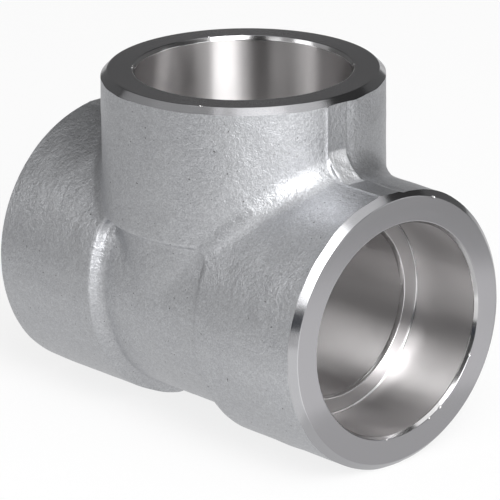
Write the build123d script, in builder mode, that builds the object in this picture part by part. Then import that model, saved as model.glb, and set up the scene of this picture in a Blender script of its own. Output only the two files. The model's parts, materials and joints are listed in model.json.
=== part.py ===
from build123d import *
import os
from math import sqrt

# Socket weld tee, forged in one piece and machined at its three ends.
# The run lies along X, the branch stands along +Z, and their centrelines cross at the origin.

# Sockets and waterways, all lengths in millimetres
socket_bore = 42.8
socket_depth = 16.9
socket_wall = 6.8
seat_width = 3.7
centre_to_seat = 27.0

# Collars round the sockets, and the thinner neck between them
run_collar_length = 28.3
branch_collar_length = 29.2
shoulder_height = 2.5

# Blends of the forging
collar_blend = 5.0
neck_blend = 4.0
window_corner = 3.0
shoulder_chamfer = 0.5
shoulder_fillet = 1.2

# Land left where the flash was trimmed off, and its web in the crotches
flash_trim = 0.2
web_width = 4.7
web_offset = 1.1
web_rise = 0.5
web_softening = 2.0

# Machined edges
rim_chamfer = 1.3
mouth_chamfer_width = 0.5
mouth_chamfer_depth = 0.8
seat_corner = 0.4
seat_edge_width = 0.45
seat_edge_depth = 0.95

# Sizes that follow from the ones above
socket_radius = socket_bore / 2
collar_radius = socket_radius + socket_wall
neck_radius = collar_radius - shoulder_height
waterway_radius = socket_radius - seat_width
centre_to_end = centre_to_seat + socket_depth
window_half = centre_to_end - run_collar_length
window_top = centre_to_end - branch_collar_length
land_radius = collar_radius - flash_trim
neck_land = neck_radius - flash_trim
land_half_width = sqrt(collar_radius**2 - land_radius**2)
shoulder_edge = min(shoulder_chamfer, 0.25 * shoulder_height)
shoulder_root = min(shoulder_fillet, 0.5 * shoulder_height)

# The trimmed web is a flat at 45 degrees. These are the places where it meets the two lands.
web_line = 2 * collar_radius + (2 - sqrt(2)) * collar_blend + sqrt(2) * web_rise
web_foot = web_line - land_radius
beyond = 2 * centre_to_end

# The two equal cylinders of a tee meet in creases that vanish on the Y axis.
# A bore along Y clears that spot, so that the blend along each crease can end there.
# In the collars it stays inside the window, which clears that spot anyway.
crease_gap = 0.6 * min(window_half, window_top)
neck_crease_gap = 0.15 * neck_radius
neck_reach = centre_to_seat + socket_depth / 2
across_all = 4 * collar_radius

ACROSS = (90, 0, 0)
ALONG_RUN = (0, 90, 0)
AGAINST_RUN = (0, -90, 0)
UPWARD = (Align.CENTER, Align.CENTER, Align.MIN)
HANGING = (Align.CENTER, Align.MAX)

# The neck: a smaller tee with blended creases, which reaches into the collars.
with BuildPart() as neck:
    Cylinder(neck_radius, 2 * neck_reach, rotation=ALONG_RUN)
    Cylinder(neck_radius, neck_reach, align=UPWARD)
    Cylinder(neck_crease_gap, across_all, rotation=ACROSS, mode=Mode.SUBTRACT)
    fillet(neck.edges().filter_by(GeomType.ELLIPSE), neck_blend)
    Cylinder(neck_radius, 3 * neck_crease_gap, rotation=ALONG_RUN)
    Cylinder(neck_radius, 2 * neck_crease_gap, align=UPWARD)

# What is machined at one end: the socket with its seat, and the chamfer round the rim.
with BuildPart() as machining:
    with BuildSketch(Plane.XZ) as socket:
        with BuildLine():
            Polyline(
                (0, centre_to_seat - seat_edge_depth),
                (waterway_radius, centre_to_seat - seat_edge_depth),
                (waterway_radius + seat_edge_width, centre_to_seat),
                (socket_radius - seat_corner, centre_to_seat),
                (socket_radius, centre_to_seat + seat_corner),
                (socket_radius, centre_to_end - mouth_chamfer_depth),
                (socket_radius + mouth_chamfer_width, centre_to_end),
                (0, centre_to_end),
                close=True,
            )
        make_face()
    revolve(axis=Axis.Z)
    with BuildSketch(Plane.XZ) as rim:
        with BuildLine():
            Polyline(
                (collar_radius - rim_chamfer, centre_to_end),
                (collar_radius + rim_chamfer, centre_to_end),
                (collar_radius + rim_chamfer, centre_to_end - 2 * rim_chamfer),
                close=True,
            )
        make_face()
    revolve(axis=Axis.Z)

with BuildPart() as tee:
    # The collars: a larger tee, whose run and branch merge in blended crotches.
    Cylinder(collar_radius, 2 * centre_to_end, rotation=ALONG_RUN)
    Cylinder(collar_radius, centre_to_end, align=UPWARD)
    Cylinder(crease_gap, across_all, rotation=ACROSS, mode=Mode.SUBTRACT)
    fillet(tee.edges().filter_by(GeomType.ELLIPSE), collar_blend)

    # The window: it ends the three collars and leaves a shoulder behind each of them.
    with BuildSketch(Plane.XZ) as window:
        with Locations((0, window_top)):
            Rectangle(2 * window_half, window_top + beyond, align=HANGING)
        fillet(window.vertices().group_by(Axis.Y)[-1], window_corner)
    extrude(amount=across_all / 2, both=True, mode=Mode.SUBTRACT)
    chamfer(tee.edges(Select.NEW), shoulder_edge)
    add(neck.part)
    fillet(tee.edges(Select.NEW), shoulder_root)

    # Webs of flash that fill the two crotches along the parting plane, a little to its front.
    with BuildSketch(Plane.XZ.offset(web_offset)) as web:
        with Locations((web_foot, web_foot)):
            Rectangle(web_foot - neck_radius, web_foot - neck_radius, align=(Align.MAX, Align.MAX))
        mirror(about=Plane.YZ)
    extrude(amount=web_width / 2, both=True)

    # Trimming of the flash: flats along the collars, at 45 degrees across the webs.
    with BuildSketch(Plane.XZ) as trimmed:
        with BuildLine():
            Polyline(
                (0, -land_radius),
                (beyond, -land_radius),
                (beyond, land_radius),
                (web_foot, land_radius),
                (land_radius, web_foot),
                (land_radius, beyond),
                (0, beyond),
            )
            mirror(about=Plane.YZ)
        make_face()
        fillet(trimmed.vertices().group_by(Axis.Y)[-2], web_softening)
    extrude(amount=across_all / 2, both=True, mode=Mode.INTERSECT)
    with BuildSketch(Plane.XZ) as neck_trim:
        with Locations((0, -neck_land)):
            Rectangle(2 * (window_half + flash_trim), collar_radius, align=HANGING)
        fillet(neck_trim.vertices().group_by(Axis.Y)[-1], shoulder_root + flash_trim)
    extrude(amount=land_half_width, both=True, mode=Mode.SUBTRACT)

    # Machining: three equal sockets, and the waterways that join them.
    add(machining.part, mode=Mode.SUBTRACT)
    add(machining.part, rotation=ALONG_RUN, mode=Mode.SUBTRACT)
    add(machining.part, rotation=AGAINST_RUN, mode=Mode.SUBTRACT)
    Cylinder(waterway_radius, 2 * centre_to_seat, rotation=ALONG_RUN, mode=Mode.SUBTRACT)
    Cylinder(waterway_radius, centre_to_seat, align=UPWARD, mode=Mode.SUBTRACT)

tee.part.label = "tee_body"
os.makedirs("parts", exist_ok=True)
export_step(tee.part, "parts/tee_body.step")
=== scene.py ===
"""The looks of a forged socket weld tee: its skin, its machined ends, and the studio round it.

The tee is made here as it is made in a forge. A soft-edged forging comes first, as a mesh on a distance
field, and its sockets, rims and waterways are then cut into it. All lengths are in metres.
"""

import json
from math import cos, pi, radians, sin, sqrt, tau

import bmesh
import bpy
import numpy as np
from mathutils import Matrix, Vector


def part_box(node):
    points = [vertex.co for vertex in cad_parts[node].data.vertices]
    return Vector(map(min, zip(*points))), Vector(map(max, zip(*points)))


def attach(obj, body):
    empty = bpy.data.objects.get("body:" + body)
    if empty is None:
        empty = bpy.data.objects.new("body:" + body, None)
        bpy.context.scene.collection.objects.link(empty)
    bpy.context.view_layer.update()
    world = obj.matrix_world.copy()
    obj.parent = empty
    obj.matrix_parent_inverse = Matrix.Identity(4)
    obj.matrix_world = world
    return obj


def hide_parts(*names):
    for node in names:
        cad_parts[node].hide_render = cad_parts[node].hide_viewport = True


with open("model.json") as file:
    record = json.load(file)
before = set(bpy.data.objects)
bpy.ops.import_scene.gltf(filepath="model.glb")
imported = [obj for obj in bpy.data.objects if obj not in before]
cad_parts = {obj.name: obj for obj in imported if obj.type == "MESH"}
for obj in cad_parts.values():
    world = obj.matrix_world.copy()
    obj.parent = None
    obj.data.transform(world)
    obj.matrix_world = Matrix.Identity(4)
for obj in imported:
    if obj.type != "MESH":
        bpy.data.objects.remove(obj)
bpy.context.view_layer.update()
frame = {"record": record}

# Sizes that the frame gives
LOW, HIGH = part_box("tee_body")
CENTRE_TO_END = HIGH.x
COLLAR_RADIUS = HIGH.y
LAND_RADIUS = -LOW.z
BRANCH_SOCKET = next(m for m in frame["record"]["mounts"] if m["name"] == "branch_socket")
SOCKET_RADIUS = BRANCH_SOCKET["dims"]["r_mm"] / 1000
SOCKET_MIDDLE = BRANCH_SOCKET["pos_m"][2]
SOCKET_LENGTH = BRANCH_SOCKET["dims"]["length_mm"] / 1000

# Machining at each end
SEAT_CORNER = 0.0004
SEAT = SOCKET_MIDDLE - SOCKET_LENGTH / 2 - SEAT_CORNER
SEAT_WIDTH = 0.0037
SEAT_EDGE_WIDTH = 0.00045
SEAT_EDGE_DEPTH = 0.00095
MOUTH_CHAMFER_WIDTH = 0.0005
MOUTH_CHAMFER_DEPTH = 0.0008
RIM_CHAMFER = 0.0013
EDGE_BREAK = 0.00012
WATERWAY_RADIUS = SOCKET_RADIUS - SEAT_WIDTH

# Nicks in the machined edges: which end and which edge, the angle round it in degrees, and the size
NICKS = (
    ("right", "mouth", 63, 0.00036),
    ("right", "mouth", 31, 0.00042),
    ("right", "mouth", 22, 0.00030),
    ("right", "mouth", 351, 0.00026),
    ("right", "rim", 160, 0.00036),
    ("branch", "mouth", 228, 0.00040),
    ("branch", "mouth", 224, 0.00026),
    ("branch", "mouth", 156, 0.00026),
    ("branch", "mouth", 147, 0.00032),
    ("branch", "mouth", 138, 0.00024),
    ("branch", "mouth", 50, 0.00026),
    ("branch", "rim", 300, 0.00032),
)
NICK_STRETCH = 1.7

# The forging
RUN_COLLAR = 0.0283
BRANCH_COLLAR = 0.0292
SHOULDER_HEIGHT = 0.0025
COLLAR_BLEND = 0.0050
NECK_BLEND = 0.0040
WINDOW_CORNER = 0.0034
SHOULDER_ROUND = 0.0004
WINDOW_TOP_ROUND = 0.0011
SHOULDER_ROOT = 0.0012
SHOULDER_DRAFT = 0.55
NECK_RADIUS = COLLAR_RADIUS - SHOULDER_HEIGHT
WINDOW_HALF = CENTRE_TO_END - RUN_COLLAR
WINDOW_TOP = CENTRE_TO_END - BRANCH_COLLAR

# The trimmed flash along the parting plane, with a web in each crotch
FLASH_TRIM = COLLAR_RADIUS - LAND_RADIUS
LAND_HALF_WIDTH = sqrt(COLLAR_RADIUS**2 - LAND_RADIUS**2)
WEB_HALF_WIDTH = 0.00235
WEB_MIDDLE = -0.0011
WEB_RISE = 0.0005
WEB_SOFTENING = 0.0020
WEB_EDGE = 0.0004
WEB_LINE = 2 * COLLAR_RADIUS + (2 - sqrt(2)) * COLLAR_BLEND + sqrt(2) * WEB_RISE
WEB_FOOT = WEB_LINE - LAND_RADIUS

# The parting line: a burr on the front edge of the land, and behind it a half that sits lower
BURR_PLACE = -0.0037
BURR_WIDTH = 0.00028
BURR_HEIGHT = 0.00016
STEP_PLACE = 0.0011
STEP_WIDTH = 0.0009
STEP_DEPTH = 0.00036
STEP_FADES_OVER = 0.010
STEP_ENDS = 0.036

# Unevenness of the forging, and of the torn metal on its webs: the waves' height, size and seed
SKIN_WAVES = (
    (0.00005, 0.009, 3),
    (0.00004, 0.0045, 5),
    (0.000016, 0.0022, 4),
)
TORN_WAVES = (0.00007, 0.0011, 6)
TORN_REACH = 0.0012

# The mesh: its steps are finer at the shoulders and along the parting line
NET_STEP = 0.00068
FINE_STEP = 0.00030
CLOSE_UP = 0.0019
SPARE = 0.0012
MARGIN_STEPS = 3
EVENING_ROUNDS = 3
EVENING_SHARE = 0.6
SETTLING_ROUNDS = 3
NUDGE = 0.00002
LEAST_SLOPE = 0.3
TINY = 1e-9
TURNED_SEGMENTS = 192
NICK_SUBDIVISIONS = 2
SHARP_ANGLE = 32
FACE_WEIGHT = 90

# The forged skin: the sizes and depths of its bumps
GRAIN_SIZE = 0.00034
GRAIN_DEPTH = 0.00009
PEEL_SIZE = 0.0010
PEEL_DEPTH = 0.00013
TEAR_SIZE = 0.0006
TEAR_DEPTH = 0.00010
CLOUD_SIZE = 0.009
PIT_SIZE = 0.0007
LAND_FADE = 0.00015
WEB_FADE_FROM = 0.0010
WEB_FADE_TO = 0.0016

# The forged skin: its colours, and its roughness from the smoothest to the roughest places
PLAIN_SKIN = (0.42, 0.42, 0.43)
DARKER_SKIN = (0.465, 0.47, 0.49)
PALER_SKIN = (0.485, 0.49, 0.505)
GRAIN_COLOUR = (0.62, 0.63, 0.65)
PEEL_COLOUR = (0.43, 0.435, 0.455)
PIT_COLOUR = (0.20, 0.20, 0.205)
LAND_COLOUR = (0.40, 0.405, 0.42)
WEB_COLOUR = (0.68, 0.685, 0.70)
SKIN_ROUGHNESS = (0.42, 0.44, 0.46)
WEB_ROUGHER_BY = 0.15

# Machined steel: colour, roughness, smear of reflections, feed of the tool, depth of marks and of scratches
MACHINED = {
    "bore": ((0.59, 0.575, 0.575), 0.37, 1.0, 0.00072, 0.0000014, 0.0000007),
    "seat": ((0.74, 0.73, 0.735), 0.20, 0.3, 0.00030, 0.0000008, 0.0000010),
    "mouth": ((0.60, 0.595, 0.60), 0.16, 0.5, 0.00030, 0.0000005, 0.0000008),
    "face": ((0.42, 0.415, 0.43), 0.18, 0.7, 0.00034, 0.0000010, 0.0000014),
    "rim": ((0.48, 0.48, 0.495), 0.17, 0.6, 0.00040, 0.0000006, 0.0000010),
}
AXES = {"branch": (0, 0, 1), "run": (1, 0, 0)}
SCRATCH_SIZE = 0.00030
MARKS_CHANGE_OVER = 0.0021

# Patches of slightly other roughness on machined steel, which are long round the axis and short along it
PATCH_AROUND = 0.6
PATCH_ALONG = 500
PATCH_SIZE = 0.5
PATCH_ROUGHNESS = (0.96, 1.05)

# The studio: the light that comes from all round, and how much whiter the floor looks than it is lit
AMBIENT = 0.5
FLOOR_COLOUR = (0.22, 0.22, 0.22)
FLOOR_LIFT = 0.78
FLOOR_HALF = 4

# The photograph's camera, in degrees and in metres, with its focal length in pixels of the photograph
AZIMUTH = 47.57
ELEVATION = 19.24
ROLL = 0.60
DISTANCE = 0.9089
AIM_RIGHT = 0.00090
AIM_UP = 0.00534
FOCAL_PIXELS = 4539
PHOTO_PIXELS = 500
SENSOR = 36


def length(*sides):
    """The length of the vector with these sides."""
    return np.sqrt(sum(side * side for side in sides))


def joined(a, b, blend):
    """Two distance fields as one shape, with a rounded inner corner where they meet."""
    reach = np.maximum(blend, TINY)
    inside = length(np.maximum(reach - a, 0), np.maximum(reach - b, 0))
    return np.maximum(reach, np.minimum(a, b)) - inside


def common(a, b, rounding):
    """What two distance fields share, with a rounded outer edge where they meet."""
    return -joined(-a, -b, rounding)


def bars(x, y, z, radius, blend):
    """Two equal round bars in a tee. The blend of their creases fades to nothing where they open flat."""
    below = np.minimum(z, 0)
    from_run = length(y, z)
    from_branch = length(x, y, below)
    alike = (y * y + z * below) / (from_run * from_branch + TINY)
    return joined(from_run - radius, from_branch - radius, blend * (1 - alike))


def parting_line(y, z):
    """How much lower than its die the forging lies at the parting line. Only its upper side has a burr."""
    beyond = np.maximum(y - STEP_PLACE, 0)
    lower = STEP_DEPTH * np.minimum(beyond / STEP_WIDTH, 1) * np.exp(-beyond / STEP_FADES_OVER)
    lower = lower * np.clip((STEP_ENDS - z) / (STEP_ENDS - COLLAR_RADIUS), 0, 1)
    burr = BURR_HEIGHT * np.exp(-(((y - BURR_PLACE) / BURR_WIDTH) ** 2))
    return lower - burr * np.clip(z / COLLAR_RADIUS, 0, 1)


def forging(points):
    """The distance of points to the forging, below zero inside it."""
    x, y, z = np.abs(points[..., 0]), np.abs(points[..., 1]), points[..., 2]

    # The collars, cut back by the window to the neck
    collars = bars(x, y, z, COLLAR_RADIUS, COLLAR_BLEND)
    inward = np.clip(COLLAR_RADIUS - length(y, z), 0, SHOULDER_HEIGHT)
    aside = x - WINDOW_HALF + WINDOW_CORNER + SHOULDER_DRAFT * inward
    upward = z - WINDOW_TOP + WINDOW_CORNER
    window = length(np.maximum(aside, 0), np.maximum(upward, 0)) - WINDOW_CORNER
    window += np.minimum(np.maximum(aside, upward), 0)
    towards_top = np.clip((upward - aside) / WINDOW_CORNER, 0, 1)
    rounding = SHOULDER_ROUND + (WINDOW_TOP_ROUND - SHOULDER_ROUND) * towards_top
    body = common(collars, -window, rounding)
    body = joined(body, bars(x, y, z, NECK_RADIUS, NECK_BLEND), SHOULDER_ROOT)

    # The web of flash in each crotch
    from_web = np.abs(points[..., 1] - WEB_MIDDLE)
    middle, half = (WEB_FOOT + NECK_RADIUS) / 2, (WEB_FOOT - NECK_RADIUS) / 2
    web = np.maximum(np.abs(x - middle), np.abs(z - middle)) - half
    body = joined(body, common(web, from_web - WEB_HALF_WIDTH, WEB_EDGE), WEB_EDGE)

    # The flats where the flash was trimmed off: across the webs, along the collars and along the neck
    slant = (x + z - WEB_LINE) / sqrt(2)
    trimmed = joined(x - LAND_RADIUS, slant, WEB_SOFTENING * (1 - sqrt(0.5)))
    trimmed = np.minimum(trimmed, z - LAND_RADIUS)
    body = np.maximum(body, trimmed)
    body = np.maximum(body, -z - LAND_RADIUS)
    neck_flat = np.maximum(y - LAND_HALF_WIDTH, x - WINDOW_HALF - FLASH_TRIM)
    neck_flat = np.maximum(neck_flat, z + NECK_RADIUS - FLASH_TRIM)
    body = np.maximum(body, -neck_flat) + parting_line(points[..., 1], z)
    return np.maximum(body, np.maximum(x, z) - CENTRE_TO_END - SPARE)


def slope(points):
    """The outward normal of the forging's surface at points near it, and their distance from it."""
    parts = []
    for axis in range(3):
        step = np.zeros(3)
        step[axis] = NUDGE
        parts.append((forging(points + step) - forging(points - step)) / (2 * NUDGE))
    normal = np.stack(parts, -1)
    size = np.linalg.norm(normal, axis=-1, keepdims=True)
    return normal / np.maximum(size, TINY), forging(points)[:, None] / np.maximum(size, LEAST_SLOPE)


def graded(low, high, close_ups):
    """Places from low to high, which lie closer together round the close-ups."""
    places = [low]
    while places[-1] < high:
        near = any(abs(places[-1] - middle) < CLOSE_UP for middle in close_ups)
        places.append(places[-1] + (FINE_STEP if near else NET_STEP))
    return np.array(places)


def net(field, sides):
    """A closed net of four-sided faces round the part of a grid where the field is below zero."""
    inside = field < 0
    cells = np.array(field.shape) - 1
    total = np.zeros((*cells, 3))
    count = np.zeros(cells)
    crossings = []

    # A step of the grid that crosses the surface gives one face, with its corners in the four cells round it
    for axis in range(3):
        first = [slice(None)] * 3
        second = [slice(None)] * 3
        first[axis] = slice(0, -1)
        second[axis] = slice(1, None)
        first, second = tuple(first), tuple(second)
        crossed = np.argwhere(inside[first] != inside[second])
        others = [a for a in range(3) if a != axis]
        kept = np.all((crossed[:, others] > 0) & (crossed[:, others] < cells[others]), axis=1)
        crossed = crossed[kept]
        here = field[first][tuple(crossed.T)]
        there = field[second][tuple(crossed.T)]
        place = crossed.astype(float)
        place[:, axis] += here / (here - there)
        corners = []
        for back in ((1, 1), (0, 1), (0, 0), (1, 0)):
            cell = crossed.copy()
            cell[:, others] -= back
            np.add.at(total, tuple(cell.T), place)
            np.add.at(count, tuple(cell.T), 1)
            corners.append(cell)
        outward = (here < 0) if axis != 1 else (here >= 0)
        crossings.append((corners, outward))

    # The corner in a cell is the middle of the crossings on the cell's edges
    used = count > 0
    number = -np.ones(cells, int)
    number[used] = np.arange(used.sum())
    middles = total[used] / count[used][:, None]
    points = np.stack([np.interp(m, np.arange(len(side)), side) for m, side in zip(middles.T, sides)], -1)
    faces = []
    for corners, outward in crossings:
        face = np.stack([number[tuple(cell.T)] for cell in corners], -1)
        face[~outward] = face[~outward][:, ::-1]
        faces.append(face)
    return points, np.concatenate(faces)


def evened(points, faces):
    """The points spread evenly over the forging's surface, and drawn onto it."""
    edges = np.concatenate([faces[:, [a, (a + 1) % 4]] for a in range(4)])
    share = np.bincount(edges.ravel(), minlength=len(points))
    for turn in range(EVENING_ROUNDS):
        middle = np.zeros_like(points)
        for axis in range(3):
            middle[:, axis] += np.bincount(edges[:, 0], points[edges[:, 1], axis], len(points))
            middle[:, axis] += np.bincount(edges[:, 1], points[edges[:, 0], axis], len(points))
        middle /= share[:, None]
        normal, distance = slope(points)
        drift = middle - points
        drift -= normal * np.sum(drift * normal, axis=1, keepdims=True)
        points = points + EVENING_SHARE * drift - normal * distance
    for turn in range(SETTLING_ROUNDS):
        normal, distance = slope(points)
        points = points - normal * distance
    return points, normal


def waves(points, size, seed, count=9):
    """A smooth unevenness, mostly between -1 and 1, with bumps of about this size."""
    source = np.random.default_rng(seed)
    total = np.zeros(len(points))
    for number in range(count):
        direction = source.normal(size=3)
        direction *= tau / (2 * size * source.uniform(0.7, 1.4)) / np.linalg.norm(direction)
        total += np.sin(points @ direction + source.uniform(0, tau))
    return total / sqrt(count)


def new_object(name, points, faces, materials=(), indices=None):
    """A mesh object in the scene."""
    mesh = bpy.data.meshes.new(name)
    mesh.from_pydata(points, [], faces)
    for material in materials:
        mesh.materials.append(material)
    if indices is not None:
        mesh.polygons.foreach_set("material_index", indices)
    piece = bpy.data.objects.new(name, mesh)
    bpy.context.scene.collection.objects.link(piece)
    return piece


def forged_blank(skin):
    """The forging before it is machined, a little too long at its three ends."""
    margin = MARGIN_STEPS * NET_STEP
    low = np.array([-CENTRE_TO_END - SPARE, -COLLAR_RADIUS, -COLLAR_RADIUS]) - margin
    high = np.array([CENTRE_TO_END + SPARE, COLLAR_RADIUS, CENTRE_TO_END + SPARE]) + margin
    shoulder = WINDOW_HALF - SHOULDER_DRAFT * SHOULDER_HEIGHT / 2
    close_ups = [(-shoulder, shoulder), (BURR_PLACE, STEP_PLACE), (WINDOW_TOP,)]
    sides = [graded(*ends) for ends in zip(low, high, close_ups)]
    grid = np.stack(np.meshgrid(*sides, indexing="ij"), -1)
    points, faces = net(forging(grid), sides)
    points, normal = evened(points, faces)
    uneven = sum(height * waves(points, size, seed) for height, size, seed in SKIN_WAVES)
    height, size, seed = TORN_WAVES
    torn = np.exp(-((np.abs(points[:, 0]) + points[:, 2] - WEB_LINE) / TORN_REACH) ** 2)
    torn *= np.abs(points[:, 1] - WEB_MIDDLE) < WEB_HALF_WIDTH
    uneven += height * torn * waves(points, size, seed)
    points = points + normal * uneven[:, None]
    points[:, 1] = np.clip(points[:, 1], LOW.y, HIGH.y)
    points[:, 2] = np.maximum(points[:, 2], LOW.z)
    return new_object("tee_forging", points.tolist(), faces.tolist(), [skin])


def turned(name, profile, materials, placed):
    """A cutter turned about Z: profile is a list of (radius, height, material of the face that follows)."""
    points, faces, indices = [], [], []
    order = list(materials)
    for step in range(TURNED_SEGMENTS):
        angle = tau * step / TURNED_SEGMENTS
        for radius, height, material in profile[1:-1]:
            points.append((radius * cos(angle), radius * sin(angle), height))
    rings = len(profile) - 2
    bottom, top = len(points), len(points) + 1
    points.append((0, 0, profile[0][1]))
    points.append((0, 0, profile[-1][1]))
    for step in range(TURNED_SEGMENTS):
        here, there = step * rings, (step + 1) % TURNED_SEGMENTS * rings
        faces.append((bottom, there, here))
        indices.append(order.index(profile[0][2]))
        for ring in range(rings - 1):
            faces.append((here + ring, there + ring, there + ring + 1, here + ring + 1))
            indices.append(order.index(profile[ring + 1][2]))
        faces.append((top, here + rings - 1, there + rings - 1))
        indices.append(order.index(profile[rings][2]))
    cutter = new_object(name, points, faces, list(materials.values()), indices)
    cutter.data.transform(placed)
    return cutter


def broken(before, corner, after, size, steps=3):
    """A small arc in place of a sharp corner of a profile, as points of radius and height."""
    before, corner, after = Vector(before), Vector(corner), Vector(after)
    start = corner + (before - corner).normalized() * size
    end = corner + (after - corner).normalized() * size
    arc = []
    for step in range(steps + 1):
        t = step / steps
        arc.append(start * (1 - t) ** 2 + corner * 2 * t * (1 - t) + end * t**2)
    return [tuple(point) for point in arc]


def machining_profile():
    """Socket, end face and rim, from the waterway outwards."""
    below = SEAT - SEAT_EDGE_DEPTH
    beyond = CENTRE_TO_END + 3 * SPARE
    edge = (WATERWAY_RADIUS + SEAT_EDGE_WIDTH, SEAT)
    mouth = (SOCKET_RADIUS, CENTRE_TO_END - MOUTH_CHAMFER_DEPTH)
    lip = (SOCKET_RADIUS + MOUTH_CHAMFER_WIDTH, CENTRE_TO_END)
    rim = (COLLAR_RADIUS - RIM_CHAMFER, CENTRE_TO_END)
    outside = (COLLAR_RADIUS + RIM_CHAMFER, CENTRE_TO_END - 2 * RIM_CHAMFER)
    corner_start = (SOCKET_RADIUS - SEAT_CORNER, SEAT)
    corner_end = (SOCKET_RADIUS, SEAT + SEAT_CORNER)
    profile = [(0, below, "bore"), (WATERWAY_RADIUS, below, "seat")]
    profile += [(*point, "seat") for point in broken(profile[-1][:2], edge, corner_start, EDGE_BREAK)]
    corner = broken((0, SEAT), (SOCKET_RADIUS, SEAT), (SOCKET_RADIUS, CENTRE_TO_END), SEAT_CORNER)
    profile += [(*point, "mouth") for point in corner[:-1]]
    profile += [(*corner[-1], "bore")]
    profile += [(*point, "mouth") for point in broken(corner_end, mouth, lip, EDGE_BREAK)]
    profile += [(*point, "face") for point in broken(mouth, lip, rim, EDGE_BREAK)]
    profile += [(*point, "rim") for point in broken(lip, rim, outside, EDGE_BREAK)]
    profile += [(*outside, "face"), (outside[0], beyond, "face"), (0, beyond, "face")]
    return profile


def waterway_profile(low, high):
    """A plain bore from low to high."""
    return [
        (0, low, "bore"),
        (WATERWAY_RADIUS, low, "bore"),
        (WATERWAY_RADIUS, high, "bore"),
        (0, high, "bore"),
    ]


def nicks(material, ends):
    """Small stretched balls along the machined edges, as one cutter."""
    balls = bmesh.new()
    for end, edge, angle, size in NICKS:
        radius = SOCKET_RADIUS + MOUTH_CHAMFER_WIDTH if edge == "mouth" else COLLAR_RADIUS - RIM_CHAMFER
        around = Matrix.Rotation(radians(angle), 4, "Z")
        placed = ends[end] @ around @ Matrix.Translation((radius, 0, CENTRE_TO_END + size / 3))
        stretched = placed @ Matrix.Diagonal((1, NICK_STRETCH, 1, 1))
        bmesh.ops.create_icosphere(balls, subdivisions=NICK_SUBDIVISIONS, radius=size, matrix=stretched)
    cutter = new_object("nicks", [], [], [material])
    balls.to_mesh(cutter.data)
    balls.free()
    return cutter


def machine(piece, branch_materials, run_materials):
    """Cuts the sockets, rims and waterways into the forging."""
    upright = Matrix.Identity(4)
    right = Matrix.Rotation(pi / 2, 4, "Y")
    left = Matrix.Rotation(-pi / 2, 4, "Y")
    profile = machining_profile()
    through = SEAT - SEAT_EDGE_DEPTH / 2
    cutters = [
        turned("branch_end", profile, branch_materials, upright),
        turned("right_end", profile, run_materials, right),
        turned("left_end", profile, run_materials, left),
        turned("run_bore", waterway_profile(-through, through), run_materials, right),
        turned("branch_bore", waterway_profile(0, through), branch_materials, upright),
    ]
    cutters.append(nicks(run_materials["mouth"], {"branch": upright, "right": right}))
    for cutter in cutters:
        cut = piece.modifiers.new(cutter.name, "BOOLEAN")
        cut.operation = "DIFFERENCE"
        cut.solver = "MANIFOLD"
        cut.material_mode = "TRANSFER"
        cut.object = cutter
    graph = bpy.context.evaluated_depsgraph_get()
    mesh = bpy.data.meshes.new_from_object(piece.evaluated_get(graph))
    piece.modifiers.clear()
    piece.data = mesh
    for cutter in cutters:
        bpy.data.objects.remove(cutter)
    for polygon in mesh.polygons:
        polygon.use_smooth = True
    mesh.set_sharp_from_angle(angle=radians(SHARP_ANGLE))
    weights = piece.modifiers.new("even_shading", "WEIGHTED_NORMAL")
    weights.keep_sharp = True
    weights.weight = FACE_WEIGHT


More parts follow.
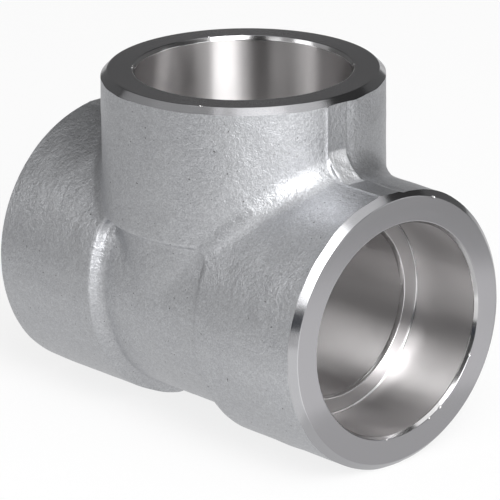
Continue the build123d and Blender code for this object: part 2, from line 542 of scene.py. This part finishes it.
class Finish:
    """A metal finish, built up from the place of each point on the part."""

    def __init__(self, name, colour, roughness):
        """Starts with one colour and one roughness, which nodes may take the place of."""
        self.material = bpy.data.materials.new(name)
        self.material.use_nodes = True
        self.nodes = self.material.node_tree.nodes
        self.links = self.material.node_tree.links
        self.shader = self.nodes["Principled BSDF"]
        self.shader.inputs["Base Color"].default_value = (*colour, 1)
        self.shader.inputs["Metallic"].default_value = 1
        self.shader.inputs["Roughness"].default_value = roughness
        self.place = self.nodes.new("ShaderNodeTexCoord").outputs["Object"]
        self.bumped = None

    def fill(self, socket, value):
        """Puts a number, a vector or another node's output into a socket."""
        if isinstance(value, bpy.types.NodeSocket):
            self.links.new(value, socket)
        else:
            socket.default_value = value

    def compute(self, operation, *values):
        """One step of arithmetic."""
        node = self.nodes.new("ShaderNodeMath")
        node.operation = operation
        for socket, value in zip(node.inputs, values):
            self.fill(socket, value)
        return node.outputs[0]

    def vector(self, operation, *values, scale=None):
        """One step of arithmetic on vectors."""
        node = self.nodes.new("ShaderNodeVectorMath")
        node.operation = operation
        for socket, value in zip(node.inputs, values):
            self.fill(socket, value)
        if scale is not None:
            node.inputs["Scale"].default_value = scale
        return node.outputs["Value" if operation == "LENGTH" else "Vector"]

    def split(self, vector):
        """The three sides of a vector."""
        node = self.nodes.new("ShaderNodeSeparateXYZ")
        self.links.new(vector, node.inputs[0])
        return node.outputs

    def combined(self, x, y, z):
        """A vector with these three sides."""
        node = self.nodes.new("ShaderNodeCombineXYZ")
        for socket, value in zip(node.inputs, (x, y, z)):
            self.fill(socket, value)
        return node.outputs[0]

    def noise(self, vector, size, detail=2.0, rough=0.5):
        """Noise whose bumps are about this size, in the vector's own unit."""
        node = self.nodes.new("ShaderNodeTexNoise")
        self.links.new(vector, node.inputs["Vector"])
        node.inputs["Scale"].default_value = 1 / size
        node.inputs["Detail"].default_value = detail
        node.inputs["Roughness"].default_value = rough
        return node.outputs["Fac"]

    def between(self, value, low, high, to_low=0.0, to_high=1.0):
        """The value carried smoothly from one range to another, and held at its ends."""
        node = self.nodes.new("ShaderNodeMapRange")
        node.interpolation_type = "SMOOTHSTEP"
        for name, number in zip(("From Min", "From Max", "To Min", "To Max"), (low, high, to_low, to_high)):
            self.fill(node.inputs[name], number)
        self.fill(node.inputs["Value"], value)
        return node.outputs["Result"]

    def mixed(self, share, first, second):
        """Two colours mixed, with this share of the second."""
        node = self.nodes.new("ShaderNodeMix")
        node.data_type = "RGBA"
        self.fill(node.inputs["Factor"], share)
        for socket, colour in zip((node.inputs[6], node.inputs[7]), (first, second)):
            self.fill(socket, colour if isinstance(colour, bpy.types.NodeSocket) else (*colour, 1))
        return node.outputs[2]

    def raise_by(self, height, depth):
        """Adds a bump: height from 0 to 1, and the depth in metres that it stands for."""
        node = self.nodes.new("ShaderNodeBump")
        node.inputs["Strength"].default_value = 1
        node.inputs["Distance"].default_value = depth
        self.links.new(height, node.inputs["Height"])
        if self.bumped:
            self.links.new(self.bumped, node.inputs["Normal"])
        self.bumped = node.outputs[0]

    def done(self):
        """Joins the bumps to the metal and hands over the material."""
        if self.bumped:
            self.links.new(self.bumped, self.shader.inputs["Normal"])
        return self.material


def forged_skin():
    """Shot-blasted steel: a fine even grain over softer bumps, a few dark pits, and a torn flash line."""
    smoothest, usual, roughest = SKIN_ROUGHNESS
    finish = Finish("forged_skin", PLAIN_SKIN, usual)
    grain = finish.noise(finish.place, GRAIN_SIZE, 2.0, 0.6)
    peel = finish.noise(finish.place, PEEL_SIZE, 2.0)
    cloud = finish.noise(finish.place, CLOUD_SIZE, 3.0)
    spots = finish.noise(finish.place, PIT_SIZE, 1.0)
    tears = finish.noise(finish.place, TEAR_SIZE, 3.0, 0.7)

    x, y, z = finish.split(finish.place)
    aside = finish.compute("ABSOLUTE", finish.compute("SUBTRACT", y, WEB_MIDDLE))
    land = finish.between(aside, WEB_HALF_WIDTH + LAND_FADE, WEB_HALF_WIDTH - LAND_FADE)
    slant = finish.compute("ADD", finish.compute("ABSOLUTE", x), z)
    from_web = finish.compute("ABSOLUTE", finish.compute("SUBTRACT", slant, WEB_LINE))
    web = finish.compute("MULTIPLY", finish.between(from_web, WEB_FADE_TO, WEB_FADE_FROM), land)

    tone = finish.mixed(finish.between(cloud, 0.35, 0.65), DARKER_SKIN, PALER_SKIN)
    tone = finish.mixed(finish.between(grain, 0.3, 0.7), tone, GRAIN_COLOUR)
    tone = finish.mixed(finish.between(peel, 0.35, 0.65, 0.0, 0.3), tone, PEEL_COLOUR)
    tone = finish.mixed(finish.between(spots, 0.27, 0.20), tone, PIT_COLOUR)
    tone = finish.mixed(finish.compute("MULTIPLY", land, 0.5), tone, LAND_COLOUR)
    tone = finish.mixed(web, tone, WEB_COLOUR)
    finish.fill(finish.shader.inputs["Base Color"], tone)

    rough = finish.between(cloud, 0.3, 0.7, smoothest, roughest)
    rough = finish.compute("ADD", rough, finish.compute("MULTIPLY", web, WEB_ROUGHER_BY))
    finish.fill(finish.shader.inputs["Roughness"], rough)
    finish.raise_by(peel, PEEL_DEPTH)
    finish.raise_by(grain, GRAIN_DEPTH)
    finish.raise_by(finish.compute("MULTIPLY", tears, land), TEAR_DEPTH)
    return finish.done()


def turned_finish(region, axis_name):
    """Steel left by a lathe tool. Its marks run round the axis, and smear reflections across them."""
    axis = AXES[axis_name]
    across = tuple(1 - side for side in axis)
    colour, roughness, smear, feed, mark_depth, scratch_depth = MACHINED[region]
    finish = Finish(axis_name + "_" + region, colour, roughness)
    radial = finish.vector("MULTIPLY", finish.place, across)
    radius = finish.vector("LENGTH", radial)
    along = finish.vector("LENGTH", finish.vector("MULTIPLY", finish.place, axis))
    if region == "bore":
        travel = along
        tangent = finish.combined(*axis)
    elif region in ("face", "seat"):
        travel = radius
        tangent = radial
    else:
        travel = finish.compute("SUBTRACT", along, radius)
        tangent = radial
    line = finish.combined(travel, 0, 0)
    scratches = finish.noise(line, SCRATCH_SIZE, 1.0, 0.5)
    marks = finish.compute("SINE", finish.compute("MULTIPLY", travel, tau / feed))
    marks = finish.compute("MULTIPLY", marks, finish.noise(line, MARKS_CHANGE_OVER, 1.0))
    around = finish.vector("SCALE", finish.vector("NORMALIZE", radial), scale=PATCH_AROUND)
    patch_place = finish.vector("ADD", around, finish.vector("SCALE", line, scale=PATCH_ALONG))
    patches = finish.noise(patch_place, PATCH_SIZE, 2.0)
    smoother, rougher = PATCH_ROUGHNESS
    rough = finish.between(patches, 0.3, 0.7, roughness * smoother, roughness * rougher)
    finish.fill(finish.shader.inputs["Roughness"], rough)
    finish.fill(finish.shader.inputs["Tangent"], tangent)
    finish.shader.inputs["Anisotropic"].default_value = smear
    finish.raise_by(marks, mark_depth)
    finish.raise_by(scratches, scratch_depth)
    return finish.done()


def sky(azimuth, elevation):
    """The direction with this azimuth and elevation, in degrees. Azimuth 0 is on the side of -Y."""
    a, e = radians(azimuth), radians(elevation)
    return Vector((sin(a) * cos(e), -cos(a) * cos(e), sin(e)))


def photo_camera():
    """The camera at the photograph's place. Its aim is measured from the origin, across the view."""
    back = sky(AZIMUTH, ELEVATION)
    level = sky(AZIMUTH + 90, 0)
    upright = back.cross(level)
    roll = radians(ROLL)
    right = level * cos(roll) - upright * sin(roll)
    up = level * sin(roll) + upright * cos(roll)
    place = right * AIM_RIGHT + up * AIM_UP + back * DISTANCE
    data = bpy.data.cameras.new("photo_camera")
    data.sensor_width = SENSOR
    data.lens = FOCAL_PIXELS * SENSOR / PHOTO_PIXELS
    data.clip_start = 0.05
    data.clip_end = 20
    camera = bpy.data.objects.new("photo_camera", data)
    camera.matrix_world = Matrix.Translation(place) @ Matrix((right, up, back)).transposed().to_4x4()
    bpy.context.scene.collection.objects.link(camera)
    bpy.context.scene.camera = camera


def glow(name, colour, strength):
    """A material that only gives light."""
    material = bpy.data.materials.new(name)
    material.use_nodes = True
    nodes, links = material.node_tree.nodes, material.node_tree.links
    nodes.clear()
    light = nodes.new("ShaderNodeEmission")
    light.inputs["Color"].default_value = (*colour, 1)
    light.inputs["Strength"].default_value = strength
    links.new(light.outputs[0], nodes.new("ShaderNodeOutputMaterial").inputs["Surface"])
    return material


def only_in_reflections(piece):
    """A part of the studio that the camera doesn't see and that casts no shadow."""
    piece.visible_camera = False
    piece.visible_diffuse = False
    piece.visible_shadow = False
    piece.visible_transmission = False


def card(name, azimuths, elevations, distance, strength, colour=(1, 1, 1)):
    """A curved card that stands round the object. Only reflections see it, and a strength of 1 is white."""
    columns, rows = 12, 8
    points, faces = [], []
    for row in range(rows + 1):
        elevation = elevations[0] + (elevations[1] - elevations[0]) * row / rows
        for column in range(columns + 1):
            azimuth = azimuths[0] + (azimuths[1] - azimuths[0]) * column / columns
            points.append(sky(azimuth, elevation) * distance)
    for row in range(rows):
        for column in range(columns):
            first = row * (columns + 1) + column
            faces.append((first, first + 1, first + columns + 2, first + columns + 1))
    only_in_reflections(new_object(name, points, faces, [glow(name, colour, strength)]))


def sheet_on_floor(name, near, far, azimuths, strength, lift=0.0005):
    """A flat sheet on the floor beside the part, from near to far. Only reflections see it."""
    steps = 16
    points = []
    for step in range(steps + 1):
        azimuth = azimuths[0] + (azimuths[1] - azimuths[0]) * step / steps
        for reach in (near, far):
            points.append(sky(azimuth, 0) * reach + Vector((0, 0, LOW.z + lift)))
    faces = [(2 * n, 2 * n + 1, 2 * n + 3, 2 * n + 2) for n in range(steps)]
    only_in_reflections(new_object(name, points, faces, [glow(name, (1, 1, 1), strength)]))


def softbox(name, azimuth, elevation, distance, width, height, brightness):
    """A soft lamp that points at the object. A brightness of 1 is a white card's."""
    data = bpy.data.lights.new(name, "AREA")
    data.shape = "RECTANGLE"
    data.size, data.size_y = width, height
    data.energy = brightness * pi * width * height
    lamp = bpy.data.objects.new(name, data)
    lamp.matrix_world = (Matrix.Translation(sky(azimuth, elevation) * distance)
                         @ sky(azimuth, elevation).to_track_quat("Z", "Y").to_matrix().to_4x4())
    lamp.visible_camera = False
    bpy.context.scene.collection.objects.link(lamp)


def seen_directly(nodes, links):
    """1 for what the camera sees, itself or in metal or glass, and 0 for the light that falls on things."""
    path = nodes.new("ShaderNodeLightPath")
    seen = path.outputs["Is Camera Ray"]
    for kind in ("Is Glossy Ray", "Is Transmission Ray"):
        either = nodes.new("ShaderNodeMath")
        either.operation = "MAXIMUM"
        links.new(seen, either.inputs[0])
        links.new(path.outputs[kind], either.inputs[1])
        seen = either.outputs[0]
    return seen


def background():
    """A background that looks white and gives a soft light."""
    world = bpy.data.worlds.new("studio")
    world.use_nodes = True
    nodes, links = world.node_tree.nodes, world.node_tree.links
    level = nodes.new("ShaderNodeMapRange")
    level.inputs["To Min"].default_value = AMBIENT
    level.inputs["To Max"].default_value = 1
    links.new(seen_directly(nodes, links), level.inputs["Value"])
    links.new(level.outputs["Result"], nodes["Background"].inputs["Strength"])
    nodes["Background"].inputs["Color"].default_value = (1, 1, 1, 1)
    bpy.context.scene.world = world


def floor():
    """A floor that looks nearly white, by itself and mirrored in metal, and keeps the part's shadow."""
    paint = bpy.data.materials.new("floor")
    paint.use_nodes = True
    nodes, links = paint.node_tree.nodes, paint.node_tree.links
    nodes.clear()
    matt = nodes.new("ShaderNodeBsdfDiffuse")
    matt.inputs["Color"].default_value = (*FLOOR_COLOUR, 1)
    shine = nodes.new("ShaderNodeEmission")
    lift = nodes.new("ShaderNodeMath")
    lift.operation = "MULTIPLY"
    lift.inputs[1].default_value = FLOOR_LIFT
    links.new(seen_directly(nodes, links), lift.inputs[0])
    links.new(lift.outputs[0], shine.inputs["Strength"])
    both = nodes.new("ShaderNodeAddShader")
    links.new(matt.outputs[0], both.inputs[0])
    links.new(shine.outputs[0], both.inputs[1])
    links.new(both.outputs[0], nodes.new("ShaderNodeOutputMaterial").inputs["Surface"])
    sides = ((-1, -1), (1, -1), (1, 1), (-1, 1))
    corners = [(x * FLOOR_HALF, y * FLOOR_HALF, LOW.z) for x, y in sides]
    new_object("floor", corners, [(0, 1, 2, 3)], [paint])


def lamps():
    """A key light from the right, with a wider one above it and a low one beside it."""
    softbox("key", 68, 29, 1.3, 0.56, 0.80, 6.5)
    softbox("key_spread", 65, 47, 1.4, 0.78, 0.96, 3.1)
    softbox("skirt", 96, 4, 1.3, 0.86, 0.36, 1.2)


def cards():
    """The grey room, and the white and black cards in it that give bare metal its bands.

    The metal mirrors them in place of the white background, which only the camera sees behind the part.
    Each was placed where a bore, a rim, a face or the skin mirrors it towards the camera.
    """
    card("room", (0, 360), (-0.5, 90), 3.0, 0.40)
    card("cap", (0, 320), (66, 90), 2.4, 1.3)
    card("dim_above_left", (300, 360), (46, 90), 2.4, 0.45)
    card("lid_right", (90, 144), (46, 66), 2.3, 0.95)
    card("flag_behind", (90, 280), (28, 66), 2.4, 0.05)
    card("flag_low", (140, 300), (-0.5, 28), 2.4, 0.14)
    card("pale_back", (205, 240), (-0.5, 10), 2.3, 0.8)
    card("spot_right", (120, 146), (12, 27), 2.3, 1.2)
    card("flag_right", (100, 120), (12, 28), 2.4, 0.02)
    card("bright_skirt", (84, 100), (12, 28), 2.4, 2.2)
    card("dim_left", (300, 344), (-0.5, 18), 2.4, 0.28)
    card("bright_left", (322, 344), (18, 42), 2.3, 2.3)
    card("bright_front_low", (344, 378), (10, 28), 2.3, 1.0)
    card("bright_front", (0, 16), (28, 46), 2.3, 1.5)
    card("flag_in_front", (0, 56), (-0.5, 10), 2.2, 0.05, (0.8, 0.9, 1.15))
    card("black_bar", (18, 38), (8, 70), 2.2, 0.02)
    card("bright_in_front", (40, 58), (14, 28), 2.3, 1.6)


def sheets():
    """Pale and dark sheets that the right end face and the lower skin mirror in place of the floor."""
    sheet_on_floor("floor_sheet", 0.0, 0.30, (0, 360), 0.72, 0.0002)
    sheet_on_floor("near_sheet", 0.05, 0.22, (0, 58), 1.0)
    sheet_on_floor("bright_sheet", 0.07, 0.30, (58, 90), 1.35)
    sheet_on_floor("right_sheet", 0.075, 0.15, (90, 135), 1.0)
    sheet_on_floor("grey_sheet", 0.15, 0.30, (90, 140), 0.52)
    sheet_on_floor("dark_behind", 0.06, 0.12, (135, 180), 0.05)
    sheet_on_floor("far_behind", 0.30, 2.5, (135, 180), 0.05)
    sheet_on_floor("far_sheet", 0.30, 2.5, (180, 270), 0.55)
    sheet_on_floor("left_sheet", 0.12, 2.5, (270, 360), 0.55)
    sheet_on_floor("dark_front", 0.30, 2.5, (0, 45), 0.05)


branch_materials = {region: turned_finish(region, "branch") for region in MACHINED}
run_materials = {region: turned_finish(region, "run") for region in MACHINED}
piece = forged_blank(forged_skin())
machine(piece, branch_materials, run_materials)
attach(piece, "root")
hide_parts("tee_body")

photo_camera()
background()
floor()
lamps()
cards()
sheets()
bpy.context.scene.view_settings.view_transform = "Standard"
